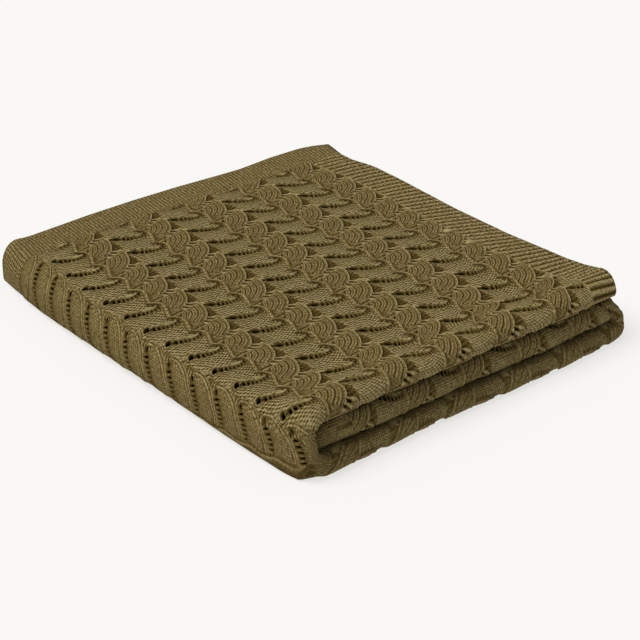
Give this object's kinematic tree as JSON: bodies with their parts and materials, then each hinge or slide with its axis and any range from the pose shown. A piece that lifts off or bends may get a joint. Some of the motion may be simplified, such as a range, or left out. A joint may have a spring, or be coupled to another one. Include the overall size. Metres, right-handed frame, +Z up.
{
  "type": "knit throw blanket",
  "caption": "Throw blanket in leaf-and-fan lace knit with a ribbed end and plain side bands, folded in half and then in thirds into a flat rectangular stack.",
  "frame": {"origin": "middle of the folded stack's outline, on the surface that it rests on", "axes": "+Z up; +Y along the stack's long side, from the front fold to the side bands; +X from the wrapped left end to the ribbed end"},
  "size_m": [0.5818, 0.6518, 0.0873],
  "materials": {
    "lace_knit": "matte olive cotton, openwork leaf-and-fan knit with ribbing at the end",
    "band_knit": "matte olive cotton, fine plain knit ribbed across the edge"
  },
  "bodies": {
    "root": {"panel": "lace_knit", "side_band_outer": "band_knit", "side_band_inner": "band_knit"}
  },
  "joints": []
}
